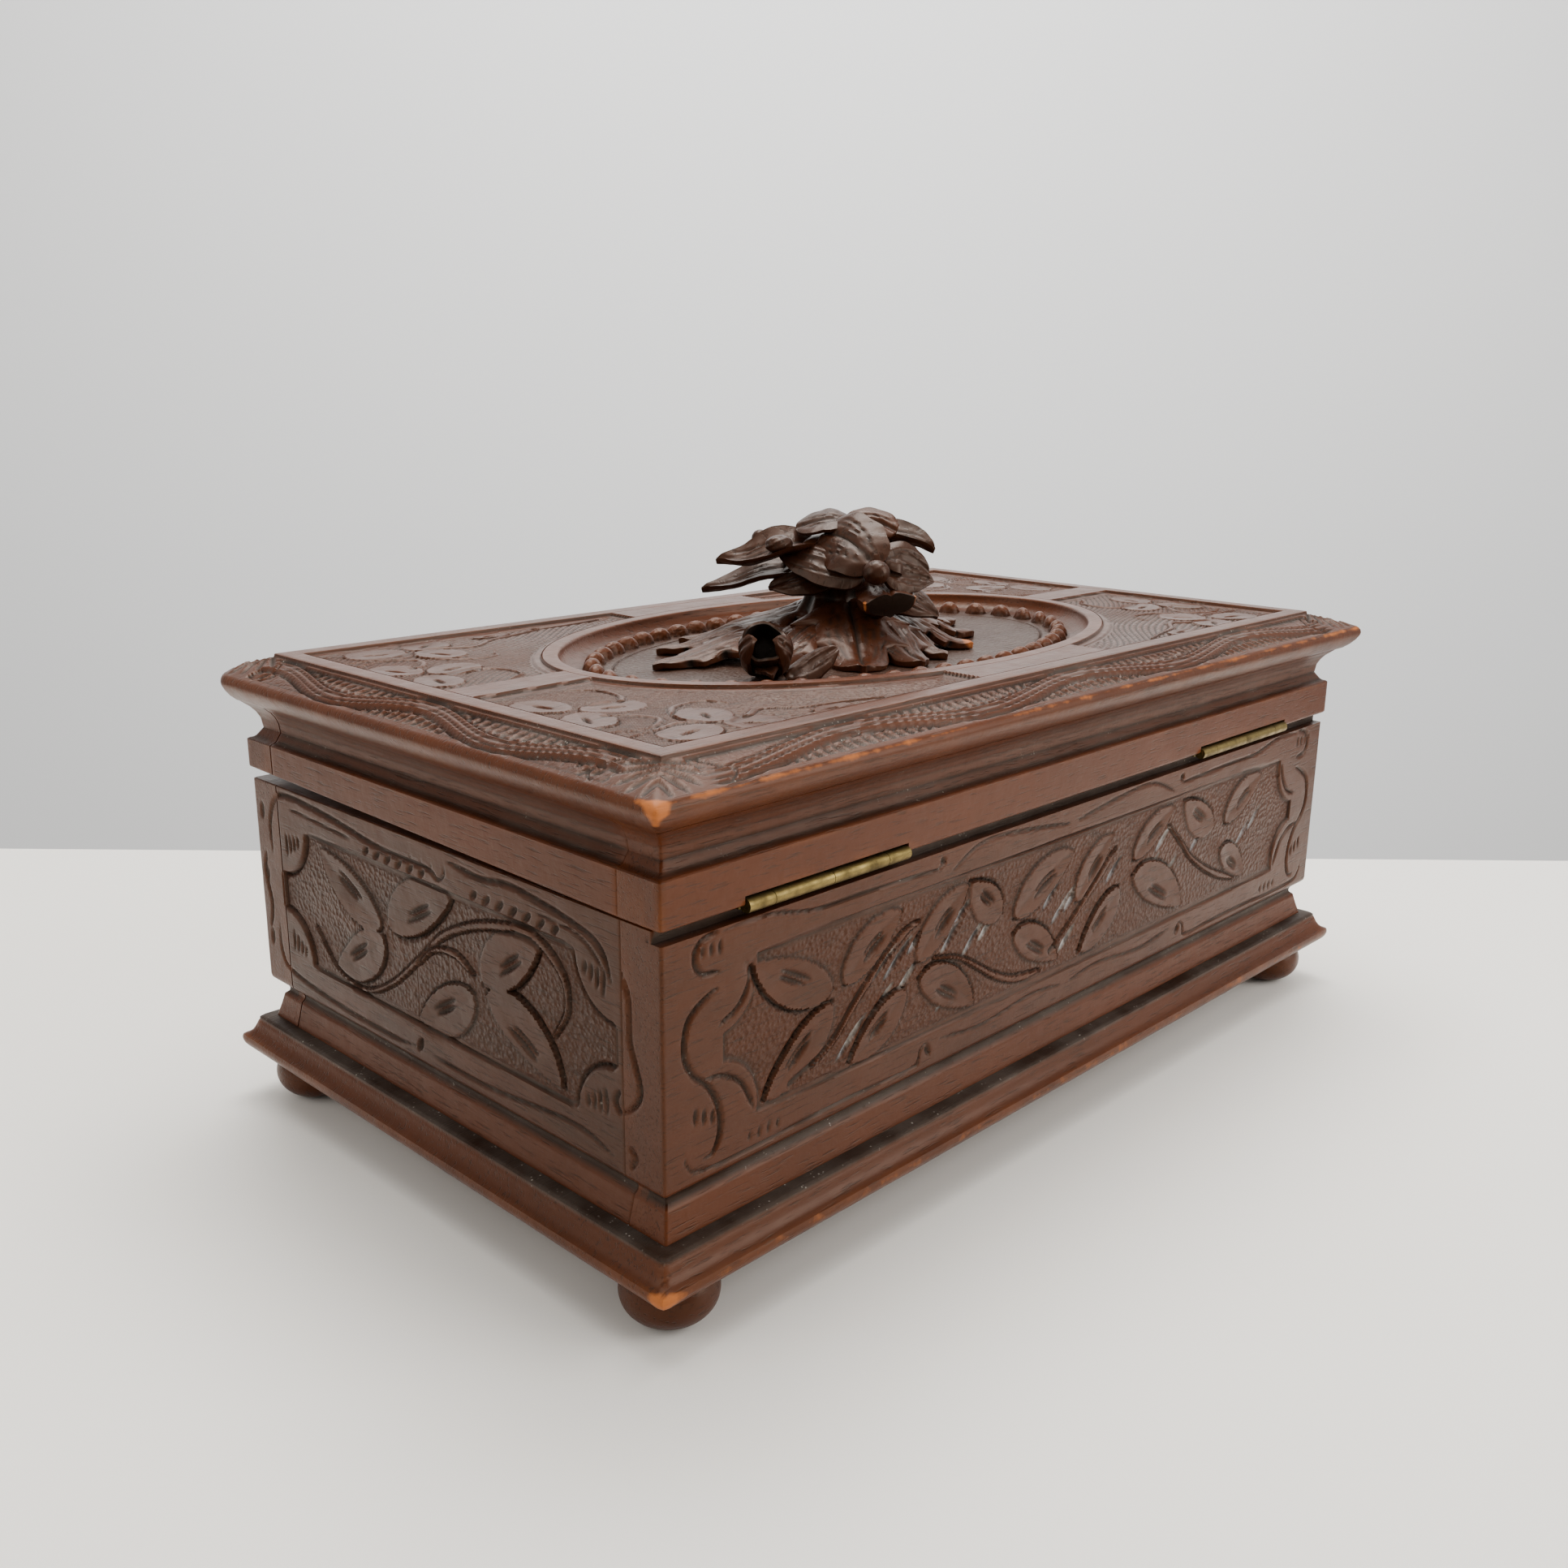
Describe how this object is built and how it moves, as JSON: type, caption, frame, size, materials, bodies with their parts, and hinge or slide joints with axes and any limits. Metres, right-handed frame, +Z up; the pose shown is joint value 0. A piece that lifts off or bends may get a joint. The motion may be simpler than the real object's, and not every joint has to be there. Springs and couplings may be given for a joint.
{
  "type": "jewelry box",
  "caption": "Carved wooden jewelry box with a moulded base, ball feet, a hinged lid with an oval recess and a foliage finial, a lock and padded linings.",
  "frame": {"origin": "centre of the footprint, on the surface that the feet stand on", "axes": "+Z up, +X along the box to the right as seen from the keyhole side, -Y towards the keyhole side, +Y towards the hinges"},
  "size_m": [0.2836, 0.1694, 0.1522],
  "materials": {
    "carved_wood": "worn dark stain",
    "lid_wood": "worn dark stain",
    "base_wood": "worn dark stain",
    "foliage_wood": "satin dark stain",
    "brass": "aged",
    "steel": "dull",
    "lining": "velvet"
  },
  "bodies": {
    "carcass": {"back_board": "carved_wood", "base_board": "base_wood", "escutcheon": "brass", "escutcheon_pins": "brass", "floor_pad": "lining", "foot_back_left": "base_wood", "foot_back_right": "base_wood", "foot_front_left": "base_wood", "foot_front_right": "base_wood", "front_board": "carved_wood", "hinge_leaf_lower_left": "brass", "hinge_leaf_lower_right": "brass", "hinge_pin_left": "brass", "hinge_pin_right": "brass", "hinge_screws_carcass": "brass", "left_end_board": "carved_wood", "lining_back": "lining", "lining_front": "lining", "lining_left": "lining", "lining_right": "lining", "lock_case": "steel", "lock_screws": "steel", "right_end_board": "carved_wood"},
    "lid": {"finial": "foliage_wood", "finial_screw": "steel", "hinge_leaf_upper_left": "brass", "hinge_leaf_upper_right": "brass", "hinge_screws_lid": "brass", "lid_pad": "lining", "lid_rail_back": "lid_wood", "lid_rail_front": "lid_wood", "lid_rail_left": "lid_wood", "lid_rail_right": "lid_wood", "lid_top_board": "lid_wood", "strike_plate": "brass", "strike_screws": "steel"},
    "bolt": {"lock_bolt": "steel"}
  },
  "joints": [
    {"name": "lid_hinge", "type": "hinge", "parent": "carcass", "child": "lid", "pos_m": [0, 0.0782, 0.08695], "axis": [-1, 0, 0], "range_deg": [0, 100]},
    {"name": "lock_bolt", "type": "slide", "parent": "carcass", "child": "bolt", "axis": [1, 0, 0], "range_m": [0, 0.0045]}
  ]
}
